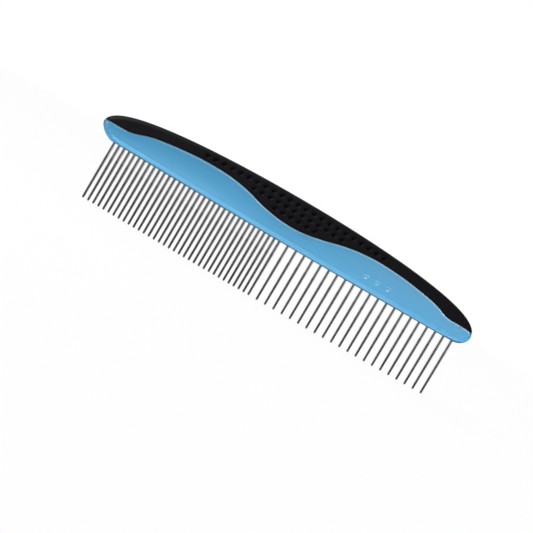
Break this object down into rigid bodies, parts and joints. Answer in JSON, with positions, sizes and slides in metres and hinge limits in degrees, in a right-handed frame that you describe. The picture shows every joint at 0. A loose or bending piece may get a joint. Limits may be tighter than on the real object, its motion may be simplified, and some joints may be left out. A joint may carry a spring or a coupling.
{
  "type": "grooming comb",
  "caption": "Two-pitch pet grooming comb: steel wire teeth, close-set then wide-set, fixed in a moulded handle with a dimpled rubber grip along its arched spine.",
  "frame": {"origin": "bottom centre of the comb's box: the middle teeth touch z = 0, and the handle is centred on x = 0 and y = 0", "axes": "+X along the handle towards the wide-spaced teeth, -Y out of the front face, +Z from the tooth tips to the spine"},
  "size_m": [0.2302, 0.0092, 0.0593],
  "materials": {
    "core_plastic": "smooth glossy light-blue moulded plastic",
    "grip_rubber": "fine matt black overmoulded rubber",
    "tooth_steel": "polished drawn steel wire"
  },
  "bodies": {
    "root": {"handle_core": "core_plastic", "rubber_grip": "grip_rubber", "fine_tooth_01": "tooth_steel", "fine_tooth_02": "tooth_steel", "fine_tooth_03": "tooth_steel", "fine_tooth_04": "tooth_steel", "fine_tooth_05": "tooth_steel", "fine_tooth_06": "tooth_steel", "fine_tooth_07": "tooth_steel", "fine_tooth_08": "tooth_steel", "fine_tooth_09": "tooth_steel", "fine_tooth_10": "tooth_steel", "fine_tooth_11": "tooth_steel", "fine_tooth_12": "tooth_steel", "fine_tooth_13": "tooth_steel", "fine_tooth_14": "tooth_steel", "fine_tooth_15": "tooth_steel", "fine_tooth_16": "tooth_steel", "fine_tooth_17": "tooth_steel", "fine_tooth_18": "tooth_steel", "fine_tooth_19": "tooth_steel", "fine_tooth_20": "tooth_steel", "fine_tooth_21": "tooth_steel", "fine_tooth_22": "tooth_steel", "fine_tooth_23": "tooth_steel", "fine_tooth_24": "tooth_steel", "fine_tooth_25": "tooth_steel", "fine_tooth_26": "tooth_steel", "fine_tooth_27": "tooth_steel", "fine_tooth_28": "tooth_steel", "fine_tooth_29": "tooth_steel", "fine_tooth_30": "tooth_steel", "fine_tooth_31": "tooth_steel", "fine_tooth_32": "tooth_steel", "fine_tooth_33": "tooth_steel", "fine_tooth_34": "tooth_steel", "coarse_tooth_01": "tooth_steel", "coarse_tooth_02": "tooth_steel", "coarse_tooth_03": "tooth_steel", "coarse_tooth_04": "tooth_steel", "coarse_tooth_05": "tooth_steel", "coarse_tooth_06": "tooth_steel", "coarse_tooth_07": "tooth_steel", "coarse_tooth_08": "tooth_steel", "coarse_tooth_09": "tooth_steel", "coarse_tooth_10": "tooth_steel", "coarse_tooth_11": "tooth_steel", "coarse_tooth_12": "tooth_steel", "coarse_tooth_13": "tooth_steel", "coarse_tooth_14": "tooth_steel", "coarse_tooth_15": "tooth_steel", "coarse_tooth_16": "tooth_steel", "coarse_tooth_17": "tooth_steel", "coarse_tooth_18": "tooth_steel", "coarse_tooth_19": "tooth_steel", "coarse_tooth_20": "tooth_steel", "coarse_tooth_21": "tooth_steel"}
  },
  "joints": []
}
